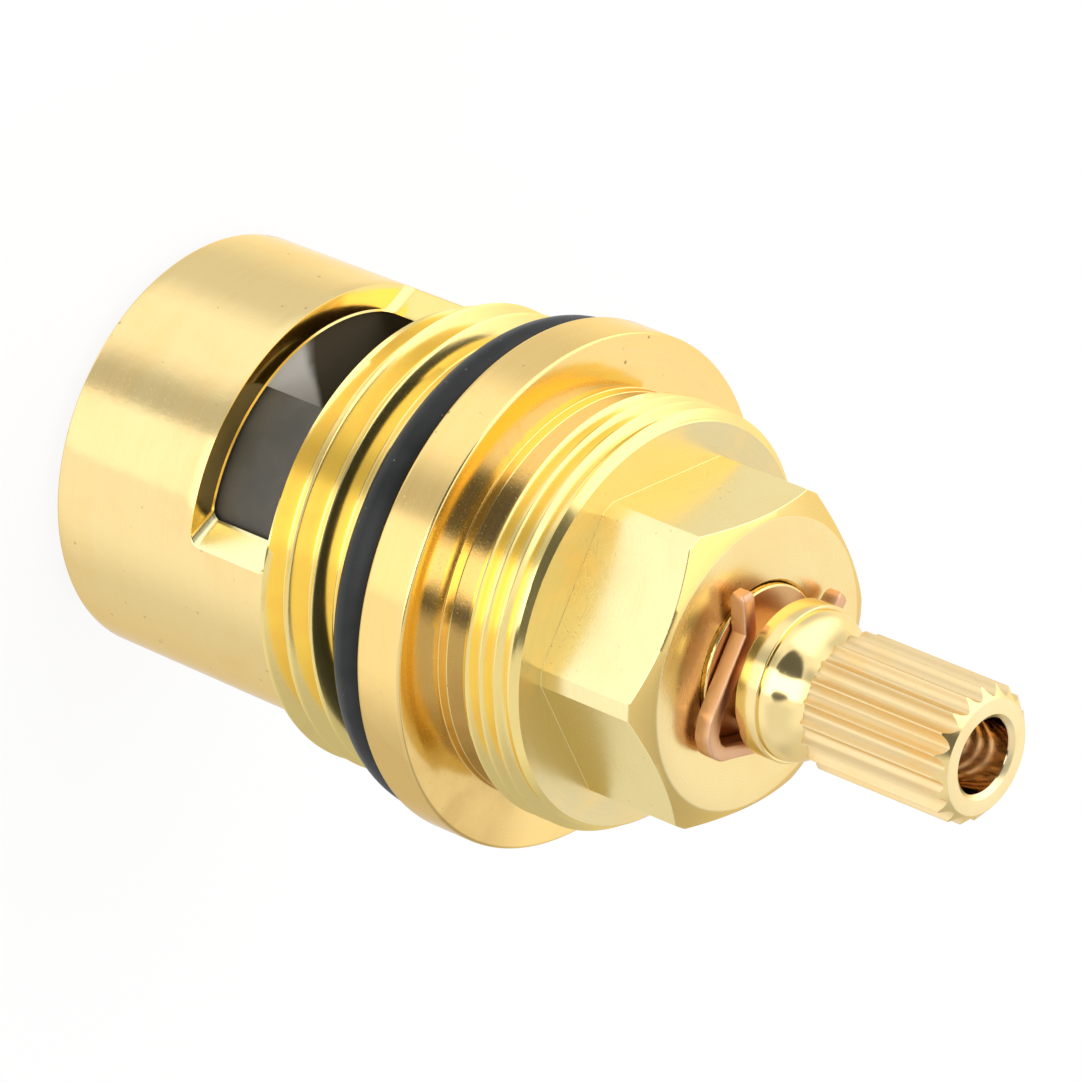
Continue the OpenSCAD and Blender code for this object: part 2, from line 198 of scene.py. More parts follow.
brassLook = {"colour": (0.92, 0.70, 0.31), "stained": (0.90, 0.63, 0.25),
             "lineColour": (0.95, 0.77, 0.42), "stain": 0.45, "lineTint": 0.25,
             "lineRate": 9.0, "lineRough": 0.12, "turnScale": 1.6, "stainScale": 0.22,
             "stainRough": 0.04, "scratch": 0.4, "pit": 0.3, "pitSize": 1.0, "pitScale": 0.9,
             "roughness": 0.17, "depth": 0.0007, "waveScale": 1.1, "waveDepth": 0.003}
finishes = {
    "cageBrass": {"colour": (0.91, 0.71, 0.33), "roughness": 0.13, "lineRough": 0.12,
                  "depth": 0.0014, "waveScale": 1.7, "waveDepth": 0.0055, "pit": 0.7,
                  "pitSize": 1.4, "scratch": 0.9},
    "windowBrass": {"colour": (0.96, 0.72, 0.26), "roughness": 0.14, "scratch": 0.3},
    # paler colour: painted light on the window's side flat
    "sideLitBrass": {"colour": (0.97, 0.91, 0.52), "stained": (0.97, 0.88, 0.46),
                  "lineColour": (0.97, 0.92, 0.56), "roughness": 0.24, "scratch": 0.3},
    "threadBrass": {"colour": (0.95, 0.76, 0.28), "roughness": 0.15, "waveDepth": 0.002},
    "flangeBrass": {"colour": (0.93, 0.67, 0.25), "roughness": 0.15, "scratch": 1.0, "pit": 1.0,
                    "pitSize": 1.4, "tarnish": (8.0, 0.7)},
    # greyish colour: painted sheen of the neck's scratches
    "neckSheenBrass": {"colour": (0.62, 0.54, 0.42), "stained": (0.62, 0.50, 0.30),
                  "lineColour": (0.76, 0.67, 0.48), "roughness": 0.15,
                  "lineRough": 0.16, "waveScale": 6.0, "waveDepth": 0.003, "depth": 0.0015,
                  "scratch": 1.0},
    "hexBrass": {"colour": (0.95, 0.83, 0.43), "stained": (0.93, 0.77, 0.36), "roughness": 0.25,
                 "scratch": 0.6},
    "coneBrass": {"colour": (0.84, 0.60, 0.2), "lineTint": 0.1, "roughness": 0.25, "scratch": 0.6},
    # painted shade for the ledge at the hexagon's foot
    "shoulderShadeBrass": {"colour": (0.71, 0.60, 0.32), "roughness": 0.3, "stain": 0.8},
    "faceBrass": {"colour": (0.90, 0.72, 0.35), "roughness": 0.27, "lineRate": 7.0},
    "boreBrass": {"roughness": 0.3, "stain": 0.9},
    "stemBrass": {"colour": (0.92, 0.72, 0.33), "roughness": 0.12, "pit": 0.15},
    "splineBrass": {"colour": (0.84, 0.67, 0.38), "lineTint": 0.1, "roughness": 0.45,
                    "scratch": 0.6, "pit": 0.15},
    "tipBrass": {"colour": (0.95, 0.80, 0.46), "roughness": 0.34, "pit": 0.15},
    # painted shade for the stem's clip groove
    "grooveShadeBrass": {"colour": (0.66, 0.40, 0.18), "stained": (0.42, 0.2, 0.1),
                    "lineColour": (0.74, 0.48, 0.24), "roughness": 0.3},
    "holeBrass": {"colour": (0.74, 0.55, 0.37), "roughness": 0.1, "lineRough": 0.06,
                  "stain": 0.6},
    "clipBronze": {"colour": (0.76, 0.45, 0.26), "stained": (0.55, 0.29, 0.16),
                   "lineColour": (0.84, 0.58, 0.42), "roughness": 0.38, "pit": 0.3},
}
materials = {name: metal(name, {**brassLook, **change}) for name, change in finishes.items()}
print("metal materials made")


def plainMaterial(name, look):
    # moulded or fired stuff: cloudy tone, fine grain, dust specks
    material = bpy.data.materials.new(name)
    g = Graph(material)
    place, x, y, z, radius = coordinates(g)
    cloud = g.noise(place, look["cloud"], 3.0, 0.5, 0.3)
    grain = g.noise(place, look["grain"], 2.0, 0.6)
    cell = g.node("ShaderNodeTexVoronoi", None, {"Vector": place, "Scale": look["speckScale"]})
    speck = (1.0 - g.ease(cell, 0.05, 0.11)) * g.ease(cloud, 0.45, 0.6)
    tone = g.mix(g.ease(cloud, 0.3, 0.7), look["colour"], look["other"])
    tone = g.mix(speck * look["speck"], tone, look["speckColour"])
    rough = look["roughness"] + (grain - 0.5) * 0.2 + speck * 0.2
    if "film" in look:
        # painted shade: each half of the disc is darkened with a brown tone except round a given
        # bearing and its opposite, where light falls in through the windows; a noise frays the
        # edge
        bearing = g.maths("ARCTAN2", y, x) + (cloud - 0.5) * 0.15
        streak = g.noise(g.vector(bearing * 6.0, 0.0, z), 2.0, 3.0)
        towardsLit = g.maths("COSINE", (bearing - np.radians(look["film"]["clean"])) * 2.0)
        towardsLit = towardsLit + (streak - 0.5) * 0.12
        tone = g.mix(1.0 - g.ease(towardsLit, 0.745, 0.855), tone, look["film"]["colour"])
    bump = g.node("ShaderNodeBump", None, {"Strength": 1.0, "Distance": mm * look["depth"],
                                           "Height": grain + speck * 0.5})
    shader = g.node("ShaderNodeBsdfPrincipled", None, {
        "Base Color": tone, "Roughness": rough, "Normal": bump,
        "Specular IOR Level": look.get("specular", 0.5)})
    g.node("ShaderNodeOutputMaterial", None, {0: shader})
    return material


stuffs = {
    "blackRubber": {"colour": (0.006, 0.0075, 0.007), "other": (0.013, 0.015, 0.014),
                    "speckColour": (0.25, 0.25, 0.24), "speck": 0.6, "roughness": 0.42,
                    "cloud": 0.5, "grain": 9.0, "speckScale": 1.6, "depth": 0.004,
                    "specular": 0.34},
    "darkCeramic": {"colour": (0.060, 0.055, 0.043), "other": (0.083, 0.075, 0.060),
                    "speckColour": (0.2, 0.18, 0.16), "speck": 0.4, "roughness": 0.5,
                    "cloud": 0.4, "grain": 12.0, "speckScale": 2.5, "depth": 0.003},
    "whiteCeramic": {"colour": (0.97, 0.97, 0.97), "other": (0.94, 0.94, 0.93), "specular": 0.8,
                     # the brown layer here is painted shade, left off round the bearing where the
                     # windows let light in
                     "film": {"clean": -87.0, "colour": (0.11, 0.095, 0.065)},
                     "speckColour": (0.6, 0.58, 0.52), "speck": 0.4, "roughness": 0.14,
                     "cloud": 0.3, "grain": 14.0, "speckScale": 2.0, "depth": 0.001},
    "whitePlastic": {"colour": (0.80, 0.80, 0.76), "other": (0.72, 0.72, 0.68),
                     "speckColour": (0.5, 0.5, 0.46), "speck": 0.3, "roughness": 0.38,
                     "cloud": 0.3, "grain": 7.0, "speckScale": 1.5, "depth": 0.002},
}
materials.update({name: plainMaterial(name, look) for name, look in stuffs.items()})
print("rubber, ceramic and plastic made")


# Mesh tools

def ring(radius, height, degrees):
    # a row of points: each at its own radius and height, at its own angle round the axis
    a = np.radians(degrees)
    radius, height = np.broadcast_to(radius, a.shape), np.broadcast_to(height, a.shape)
    return np.stack([radius * np.cos(a), radius * np.sin(a), height], axis=-1)


def arcRows(centreR, centreZ, radius, start, end, steps, degrees):
    # rows on a circle in the plane of the axis, from one angle to the other
    return [ring(centreR + radius * np.cos(t), centreZ + radius * np.sin(t), degrees)
            for t in np.radians(np.linspace(start, end, steps + 1))]


def patch(rows, finish, wraps=True, keep=None):
    return np.array(rows, float), finish, wraps, keep


weldDistance, shortEdge = 1.5e-6, 1e-7  # in metres


def makePiece(name, patches, names, body, node, turn=0.0, sharp=24.0):
    # every patch is a grid of points; neighbouring grid points make four-sided faces, and
    # edges that two patches share are merged
    points, faces, numbers, start = [], [], [], 0
    for rows, finish, wraps, keep in patches:
        count, cols = rows.shape[:2]
        index = np.arange(count * cols).reshape(count, cols) + start
        here, there = ((index, np.roll(index, -1, axis=1)) if wraps
                       else (index[:, :-1], index[:, 1:]))
        quads = np.stack([here[:-1], there[:-1], there[1:], here[1:]], axis=-1)
        quads = quads[keep] if keep is not None else quads.reshape(-1, 4)
        points.append(rows.reshape(-1, 3))
        faces.append(quads)
        numbers.append(np.full(len(quads), names.index(finish)))
        start += count * cols
    points, faces, numbers = (np.concatenate(a) for a in (points, faces, numbers))
    c, s = np.cos(np.radians(turn)), np.sin(np.radians(turn))
    spun = np.stack([points[:, 0] * c - points[:, 1] * s, points[:, 0] * s + points[:, 1] * c,
                     points[:, 2] + lip], axis=-1) * mm
    mesh = bpy.data.meshes.new(name)
    mesh.from_pydata(spun, [], faces)
    mesh.polygons.foreach_set("material_index", numbers.astype(np.int32))
    shape = bmesh.new()
    shape.from_mesh(mesh)
    bmesh.ops.remove_doubles(shape, verts=shape.verts, dist=weldDistance)
    bmesh.ops.dissolve_degenerate(shape, edges=shape.edges, dist=shortEdge)
    bmesh.ops.recalc_face_normals(shape, faces=shape.faces)
    if shape.calc_volume(signed=True) < 0:
        bmesh.ops.reverse_faces(shape, faces=shape.faces)
    openEdges = sum(1 for e in shape.edges if not e.is_manifold)
    print(name, "faces", len(shape.faces), "volume mm3", round(shape.calc_volume() * 1e9, 1),
          "open edges", openEdges)
    shape.to_mesh(mesh)
    shape.free()
    mesh.polygons.foreach_set("use_smooth", np.ones(len(mesh.polygons), bool))
    mesh.set_sharp_from_angle(angle=np.radians(sharp))
    piece = bpy.data.objects.new(name, mesh)
    scene.collection.objects.link(piece)
    for n in names:
        mesh.materials.append(materials[n])
    piece.modifiers.new("evenNormals", "WEIGHTED_NORMAL").keep_sharp = True
    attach(piece, body)
    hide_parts(node)


def threadForm(pitch, depth, halfAngle, crestFlat, rounding):
    # distance below the crest against the share of a pitch: straight flanks between a flat
    # crest and the root, smoothed by a bell curve; and the shares at which rows are needed,
    # which is one for every 16 degrees that the outline bends and 8 more, evenly spread
    samples, bendPerRow, evenRows = 400, 16, 8
    share = np.arange(samples) / samples
    away = np.minimum(share, 1 - share) * pitch
    drop = np.clip((away - crestFlat / 2) / np.tan(np.radians(halfAngle)), 0, depth)
    bell = np.exp(-0.5 * (away / rounding) ** 2)
    drop = np.real(np.fft.ifft(np.fft.fft(drop) * np.fft.fft(bell / bell.sum())))
    slope = np.arctan2(np.gradient(drop), pitch / samples)
    need = np.abs(np.diff(slope)) / np.radians(bendPerRow) + evenRows / samples
    need = np.concatenate([[0], np.cumsum(need)])
    rows = np.interp(np.linspace(0, need[-1], int(need[-1]) + 1)[:-1], need, share)
    share, drop = np.append(share, 1), np.append(drop, drop[0])
    return (lambda place: np.interp(place % 1, share, drop)), rows


def threadRows(thread, degrees, low, high, crest, limit, least=0.0):
    # rows that climb one pitch in a turn and are cut off at both ends of the thread; limit
    # gives the largest radius at a height, and least is the smallest
    pitch, start = thread["pitch"], thread["start"]
    drop, shares = threadForm(pitch, thread["depth"], thread["halfAngle"], thread["crestFlat"],
                              thread["rounding"])
    shares = shares[::thread["rowStep"]]
    degrees = np.append(degrees, degrees[0] + 360)
    turn = (degrees - degrees[0]) / 360
    turns = np.arange(np.floor((low - start) / pitch) - 2, np.ceil((high - start) / pitch) + 1)
    base = start + pitch * (turns[:, None] + shares[None, :]).ravel()
    height = np.clip(base[:, None] + pitch * turn[None, :], low, high)
    radius = crest - drop((height - start) / pitch - turn[None, :])
    a = np.radians(degrees)[None, :]
    rows = np.stack([radius * np.cos(a), radius * np.sin(a), height], axis=-1)
    radii = np.hypot(rows[..., 0], rows[..., 1])
    held = np.minimum(np.maximum(radii, least), limit(height))
    rows[..., :2] *= (held / radii)[..., None]
    return rows


# Housing: rows of points from the foot of the cage up the outside, over the front face and
# down the bore, all on the same columns, so that everything meets

housing = {"cageLow": 11.9, "cageTop": 12.04, "cageHeight": 15.7, "bore": 10.4, "edge": 0.2,
           "windowFloor": 10.0, "windowTop": 15.62, "reach": 6.7, "fillet": 0.6, "rounding": 0.06,
           "threadRadius": 13.22, "threadTop": 21.7, "grooveRadius": 11.5, "flangeLow": 24.4,
           "flangeTop": 27.5, "flangeRadius": 14.55, "flangeRoundLow": 0.4, "flangeRoundHigh": 0.2,
           "coveRadius": 13.2, "neckRadius": 11.4, "upperRadius": 11.95, "neckStep": 28.14,
           "upperLow": 29.25, "shoulder": 33.1, "hexFlat": 8.5, "hexCorner": 9.55,
           "hexFillet": 0.015, "coneAngle": 30.0, "front": 39.95, "faceRadius": 8.15,
           "faceInner": 6.5, "boreTop": 4.6, "boreChamfer": 0.15, "journalBore": 6.07,
           "boreShoulder": 36.0, "ceiling": 19.52, "slotTop": 9.7, "slotRadius": 11.4,
           "stopRadii": (8.2, 10.38), "stopHeights": (15.92, 19.5), "stopHalf": 23}
h = housing
fillStart = h["reach"] + h["fillet"]
outerR = 12.0
# a lug slot's wall stands between these two columns, given as shares of the angle from the
# window's side to the slot's middle
slotWall, slotCorner = 0.779, 0.7988
# from the middle of a flat, the angle at which the flat ends: its cosine is flat over corner
hexEdge = np.degrees(np.arccos(h["hexFlat"] / h["hexCorner"]))


def columns(radius, grow, shares):
    # angle from the window's middle for the columns of a quarter: spread over the window's
    # floor, then round its fillet, then over the solid cage as far as the lug slot's middle
    flat, fillet, solid = shares
    edgeAngle = np.degrees(np.arccos(fillStart / radius))
    bend = np.radians(90 * fillet)
    corner = np.degrees(np.arccos((fillStart - (h["fillet"] + grow) * np.sin(bend)) / radius))
    side = np.degrees(np.arccos((h["reach"] - grow) / radius))
    return np.concatenate([flat * edgeAngle, corner, side + solid * (90 - side)])


sideOut = np.degrees(np.arccos((h["reach"] - h["rounding"]) / outerR))
flatOut = np.degrees(np.arccos(fillStart / outerR))
# the hexagon's flats end at these angles from the window's middle, so columns stand there
flatEnds = np.array([60 - (30 - hexEdge), 90 - hexEdge])
solidShares = np.unique(np.concatenate([np.linspace(0, 1, 27)[1:], [slotWall, slotCorner],
                                        (flatEnds - sideOut) / (90 - sideOut)]))
shareList = (np.unique(np.append(np.linspace(0, 1, 38), (30 - hexEdge) / flatOut)),
             np.linspace(0, 1, 10)[1:], solidShares[solidShares > 0.01])
openCount = len(shareList[0]) + len(shareList[1])


def spread(quarter):
    # a quarter's values, mirrored to the window's other side and repeated at the rear window
    half = np.concatenate([quarter[::-1], quarter[1:]])[:-1]
    return np.tile(half, 2)


def spreadAngle(quarter):
    # the same for the angles, whose sign changes at the window's middle
    half = np.concatenate([-quarter[::-1], quarter[1:]])[:-1]
    return np.concatenate([half - 90, half + 90])


def windowHeights(grow):
    # the window's floor and ceiling at every column; grow widens it at a rounded edge
    bend = np.radians(90 * shareList[1])
    flats, solids = np.ones(len(shareList[0])), np.ones(len(shareList[2]))
    low = h["windowFloor"] + h["fillet"]
    high = h["windowTop"] - h["fillet"]
    floor = np.concatenate([flats * (low - h["fillet"] - grow),
                            low - (h["fillet"] + grow) * np.cos(bend), solids * low])
    ceiling = np.concatenate([flats * (high + h["fillet"] + 0.6 * grow),
                              high + (h["fillet"] + 0.6 * grow) * np.cos(bend), solids * high])
    return floor, ceiling


def cageRadius(height):
    # the cage widens evenly from its foot to its top
    share = (height - h["edge"]) / (h["cageHeight"] - h["edge"])
    return h["cageLow"] + (h["cageTop"] - h["cageLow"]) * share


outQuarter = columns(outerR, h["rounding"], shareList)
inQuarter = columns(h["bore"], h["rounding"], shareList)
outAngle, inAngle = spreadAngle(outQuarter), spreadAngle(inQuarter)
floorQ, ceilingQ = windowHeights(h["rounding"])
floorAll, ceilingAll = spread(floorQ), spread(ceilingQ)
inWindow = spread(np.arange(len(outQuarter)) < openCount)
openCell = inWindow & np.roll(inWindow, -1)
inSlot = spread(np.concatenate([np.zeros(openCount, bool), shareList[2] > slotWall + 0.01]))
pillarSteps = 9

# outside of the cage: below the windows, beside them and above them
low, mid, high = [], [], []
for t in np.linspace(0, 1, 14):
    z = h["edge"] + t * (floorAll - h["edge"])
    low.append(ring(cageRadius(z), z, outAngle))
for t in np.linspace(0, 1, pillarSteps):
    z = floorAll + t * (ceilingAll - floorAll)
    mid.append(ring(cageRadius(z), z, outAngle))
for t in np.linspace(0, 1, 4):
    z = ceilingAll + t * (h["cageHeight"] - ceilingAll)
    high.append(ring(cageRadius(z), z, outAngle))
foot = arcRows(h["cageLow"] - h["edge"], h["edge"], h["edge"], 270, 360, 4, outAngle)
keepMid = np.tile(~openCell, (pillarSteps - 1, 1))
patches = [patch(foot, "cageBrass"), patch(low, "cageBrass"),
           patch(mid, "cageBrass", keep=keepMid), patch(high, "cageBrass")]

# inside of the cage, from the ceiling down to the foot with its lug slots
inside = [ring(h["bore"], z, inAngle) for z in np.linspace(h["ceiling"], h["cageHeight"], 4)]
inside += [ring(h["bore"], h["cageHeight"] + t * (ceilingAll - h["cageHeight"]), inAngle)
           for t in (0.5, 1)]
insideMid = [ring(h["bore"], ceilingAll + t * (floorAll - ceilingAll), inAngle)
             for t in np.linspace(0, 1, pillarSteps)]
insideLow = [ring(h["bore"], floorAll + t * (h["slotTop"] - floorAll), inAngle)
             for t in np.linspace(0, 1, 3)]
slotR = np.where(inSlot, h["slotRadius"], h["bore"])
insideLow += [ring(slotR, z, inAngle) for z in np.linspace(h["slotTop"], h["edge"], 8)]
insideLow += [ring(np.where(inSlot, h["slotRadius"], h["bore"] + h["edge"]), 0.0, inAngle),
              ring(h["cageLow"] - h["edge"], 0.0, outAngle)]
patches += [patch(inside, "boreBrass"), patch(insideMid, "boreBrass", keep=keepMid),
            patch(insideLow, "boreBrass")]


def windowLoop(radius, grow):
    # the window's outline on a cylinder, once round: floor, side, ceiling, side
    shares = (shareList[0], shareList[1], np.array([0.0]))
    angle = columns(radius, grow, shares)[:-1]
    floor, ceiling = (a[:openCount] for a in windowHeights(grow))
    whole = np.concatenate([-angle[::-1], angle[1:]])
    floor, ceiling = (np.concatenate([a[::-1], a[1:]]) for a in (floor, ceiling))
    side = np.linspace(floor[-1], ceiling[-1], pillarSteps)[1:-1]
    return (np.concatenate([whole, np.full(len(side), whole[-1]), whole[::-1],
                            np.full(len(side), whole[0])]),
            np.concatenate([floor, side, ceiling[::-1], side[::-1]]))


b = h["rounding"]
outerEdge = ((0, b), (0.3 * b, 0.3 * b), (b, 0))  # depth in the wall, widening of the window
innerEdge = ((0.17, 0), (0.05, -0.06), (0, b))  # the cutter left a burr along the inner edge
# the flat at one side of the window, and 5 columns round each of its corners, are rougher and
# painted a paler colour, as painted light that makes them look lit; the rest of the cut keeps the
# plain finish
floorCount = 2 * openCount - 1
first, last = floorCount - 6, floorCount + pillarSteps - 2 + 5
sideCount = last - first
for turned in (-90, 90):
    rows = []
    for inset, grow in outerEdge:
        angle, z = windowLoop(outerR - inset, grow)
        rows.append(ring(cageRadius(z) - inset, z, angle + turned))
    for inset, grow in innerEdge:
        angle, z = windowLoop(h["bore"] + inset, grow)
        rows.append(ring(h["bore"] + inset, z, angle + turned))
    rows = np.roll(np.array(rows), -first, axis=1)
    patches.append(patch(rows[:, :sideCount + 1], "sideLitBrass", wraps=False))
    rest = np.concatenate([rows[:, sideCount:], rows[:, :1]], axis=1)
    patches.append(patch(rest, "windowBrass", wraps=False))

# pipe thread: 14 threads per inch at 55 degrees; at 61 degrees round the axis a crest stands at
# 16.82. It rises out of the cage at a slope, and its last turn is cut to a cone
crestShare = (61 - 180) / 360  # from those 61 degrees to the first column, in turns
bodyThread = {"pitch": 1.814, "depth": 1.162, "halfAngle": 27.5, "crestFlat": 0.035,
              "rounding": 0.024, "rowStep": 1, "start": 16.82 - 1.814 * crestShare,
              "risingSlope": 1.67, "coneSlope": 1.75, "coneLength": 0.55}


def bodyLimit(z):
    return np.minimum(
        h["cageTop"] + (z - h["cageHeight"]) * bodyThread["risingSlope"],
        h["threadRadius"] - bodyThread["coneSlope"]
        * (z - h["threadTop"] + bodyThread["coneLength"]))


rows = threadRows(bodyThread, outAngle, h["cageHeight"], h["threadTop"], h["threadRadius"],
                  bodyLimit)
patches.append(patch(rows, "threadBrass", wraps=False))
lastRow = rows[-1, :-1]

# O-ring groove, flange with its two rounds, and the plain neck above it
f, fillet = h["flangeRadius"], 0.2
fr, fh = h["flangeRoundLow"], h["flangeRoundHigh"]
grooveR = h["grooveRadius"] + fillet
rows = [lastRow, ring(grooveR, h["threadTop"], outAngle)]
rows += arcRows(grooveR, h["threadTop"] + fillet, fillet, 270, 180, 4, outAngle)[1:]
rows += arcRows(grooveR, h["flangeLow"] - fillet, fillet, 180, 90, 4, outAngle)
patches.append(patch(rows, "flangeBrass"))
rows = [ring(grooveR, h["flangeLow"], outAngle), ring(f - fr, h["flangeLow"], outAngle)]
rows += arcRows(f - fr, h["flangeLow"] + fr, fr, 270, 360, 6, outAngle)[1:]
rows += arcRows(f - fh, h["flangeTop"] - fh, fh, 0, 90, 5, outAngle)
rows += [ring(h["coveRadius"], h["flangeTop"] + 0.02, outAngle)]
rows += arcRows(h["neckRadius"] + 0.14, h["flangeTop"] + 0.14, 0.1, 270, 180, 3, outAngle)
rows += [ring(h["neckRadius"] + 0.04, h["neckStep"] - 0.04, outAngle),
         ring(h["neckRadius"], h["neckStep"], outAngle)]
patches.append(patch(rows, "flangeBrass"))
# the plain neck is scratched, and its greyer, paler colour is a painted sheen standing in for the
# glints of those scratches
patches.append(patch([ring(h["neckRadius"], z, outAngle)
                      for z in (h["neckStep"], h["neckStep"] + 0.03, h["upperLow"])],
                     "neckSheenBrass"))

# fine metric thread, 1 mm pitch at 60 degrees; at 61 degrees round the axis a crest stands at
# 30.14
upperThread = {"pitch": 1.0, "depth": 0.56, "halfAngle": 30, "crestFlat": 0.02,
               "rounding": 0.016, "rowStep": 1, "start": 30.14 - crestShare,
               "risingSlope": 1.2, "coneLength": 0.65}


def upperLimit(z):
    return np.minimum(h["neckRadius"] + (z - h["upperLow"]) * upperThread["risingSlope"],
                      h["upperRadius"] - (z - h["shoulder"] + upperThread["coneLength"]))


rows = threadRows(upperThread, outAngle, h["upperLow"], h["shoulder"], h["upperRadius"],
                  upperLimit, h["neckRadius"])
patches.append(patch(rows, "threadBrass", wraps=False))
lastRow = rows[-1, :-1]

# hexagon: flats cut into a round bar, with the front edge turned to a cone. A flat's radius is
# its distance from the axis over the cosine of the angle from its middle, and the cone drops by
# the run beyond the face times the tangent of its angle
fromFlat = (outAngle + 30) % 60 - 30
hexRadius = np.minimum(h["hexFlat"] / np.cos(np.radians(fromFlat)), h["hexCorner"])
coneLow = h["front"] - (hexRadius - h["faceRadius"]) * np.tan(np.radians(h["coneAngle"]))
footRow = ring(hexRadius + h["hexFillet"], h["shoulder"], outAngle)
# the ledge at the hexagon's foot is painted a darker olive as painted shade in the corner
patches.append(patch([lastRow, footRow], "shoulderShadeBrass"))
rows = [footRow]
for t in np.linspace(0, 1, 8):
    z = h["shoulder"] + h["hexFillet"] + t * (coneLow - 0.03 - h["shoulder"] - h["hexFillet"])
    rows.append(ring(hexRadius, z, outAngle))
rows.append(ring(hexRadius - 0.03, coneLow + 0.012, outAngle))
patches.append(patch(rows, "hexBrass"))
rows = [rows[-1], ring(h["faceRadius"] + 0.06, h["front"] - 0.035, outAngle)]
patches.append(patch(rows, "coneBrass"))
rows = [rows[-1], ring(h["faceRadius"] - 0.05, h["front"], outAngle),
        ring(h["faceInner"], h["front"], outAngle),
        ring(h["boreTop"] + h["boreChamfer"], h["front"], outAngle),
        ring(h["boreTop"], h["front"] - h["boreChamfer"], outAngle)]
patches.append(patch(rows, "faceBrass"))
rows = [ring(h["boreTop"], z, outAngle)
        for z in (h["front"] - h["boreChamfer"], 38, h["boreShoulder"])]
rows += [ring(h["journalBore"], z, outAngle)
         for z in (h["boreShoulder"], 32, 28, 24, h["ceiling"] + 0.2)]
rows += [ring(h["journalBore"] + 0.2, h["ceiling"], outAngle),
         ring(h["bore"], h["ceiling"], inAngle)]
patches.append(patch(rows, "boreBrass"))


def prism(outline, low, high):
    # an outline carried straight up, closed by a fan of triangles at each end
    middle = np.tile(outline.mean(axis=0), (len(outline), 1))
    return [np.column_stack([o, np.full(len(outline), z)])
            for o, z in ((middle, low), (outline, low), (outline, high), (middle, high))]


# the two stops inside, which the drive plate's wings run against
for middle in (96, 276):
    a = np.radians(np.linspace(middle - h["stopHalf"], middle + h["stopHalf"], 20))
    inner, outer = (np.column_stack([r * np.cos(a), r * np.sin(a)]) for r in h["stopRadii"])
    outline = np.concatenate([inner, outer[::-1]])
    patches.append(patch(prism(outline, *h["stopHeights"]), "boreBrass"))
makePiece(
    "housing_turned", patches,
    ["cageBrass", "threadBrass", "flangeBrass", "hexBrass", "faceBrass", "boreBrass", "neckSheenBrass",
     "windowBrass", "sideLitBrass", "shoulderShadeBrass", "coneBrass"],
    "housing", "housing")
print("housing built")


# Stem: plate with two wings, journal with O-ring grooves, head with spline and screw hole

stem = {"plateLow": 16.02, "plateTop": 18.47, "plateRadius": 7.9, "wingRadius": 9.8,
        "wingHalf": 21.0, "journal": 6.0, "collar": 4.53, "grooveDepth": 4.53,
        "ringHeights": (24.02, 31.1), "journalTop": 35.6, "headStart": 40.2, "clipGroove": 3.1,
        "rimLow": 42.03, "rimTop": 43.46, "rim": 4.4, "bead": 4.2, "beadRound": 1.5,
        "beadLean": 36.0, "splineLow": 45.86, "crest": 3.87, "root": 3.35, "teeth": 20,
        "splineTurn": 10.0, "chamferSlope": 0.87, "tip": 55.46, "tipRadius": 3.2, "hole": 2.1,
        "plainDepth": 3.4, "threadDepth": 9.5, "holeDepth": 12.0, "drillTip": 1.2,
        "turn": -39.0}
s = stem
# the outline of a tooth from its middle to the middle of the groove: angles, and how much of
# the tooth's height is gone there
toothPitch = 360 / s["teeth"]
flank = np.array([0.5, 1.0, 1.6, 2.4, 3.2, 4.2, 5.4, 7.0, 8.3])
gone = [0, 0.02, 0.1, 0.25, 0.43, 0.58, 0.71, 0.82, 0.94, 0.99, 1]
tooth = np.concatenate([[-toothPitch / 2], -flank[::-1], [0], flank])
centres = s["splineTurn"] + toothPitch * np.arange(s["teeth"])
# the columns serve the teeth and the wings; where a wing ends two columns share an angle
wingSides = np.array([-s["wingHalf"], s["wingHalf"], 180 - s["wingHalf"], 180 + s["wingHalf"]])
angles = np.concatenate([(centres[:, None] + tooth[None, :]).ravel(), np.repeat(wingSides, 2)])
inWing = np.concatenate([np.zeros(len(centres) * len(tooth), bool), [0, 1, 1, 0, 0, 1, 1, 0]])
angles = (angles - wingSides[0]) % 360
angles[-8:-6] = 0
plain = np.arange(len(angles)) < len(centres) * len(tooth)
span = 2 * s["wingHalf"]
betweenSides = (angles < span) | ((angles > 180) & (angles < 180 + span))
inWing = np.where(plain, betweenSides, inWing).astype(bool)
rank = np.where(plain, 0.5, np.where(np.isin(angles, (0, 180)), inWing, ~inWing))
order = np.lexsort((rank, np.round(angles, 6)))
angles, inWing = angles[order] + wingSides[0], inWing[order]
offset = (angles - s["splineTurn"] + toothPitch / 2) % toothPitch - toothPitch / 2
splineRadius = s["crest"] - (s["crest"] - s["root"]) * np.interp(
    np.abs(offset), np.concatenate([[0], flank, [toothPitch / 2]]), gone)
plateR = np.where(inWing, s["wingRadius"], s["plateRadius"])
rows = [ring(0.0, s["plateLow"], angles), ring(plateR - 0.1, s["plateLow"], angles),
        ring(plateR, s["plateLow"] + 0.1, angles), ring(plateR, s["plateTop"] - 0.1, angles),
        ring(plateR - 0.1, s["plateTop"], angles), ring(s["journal"], s["plateTop"], angles)]
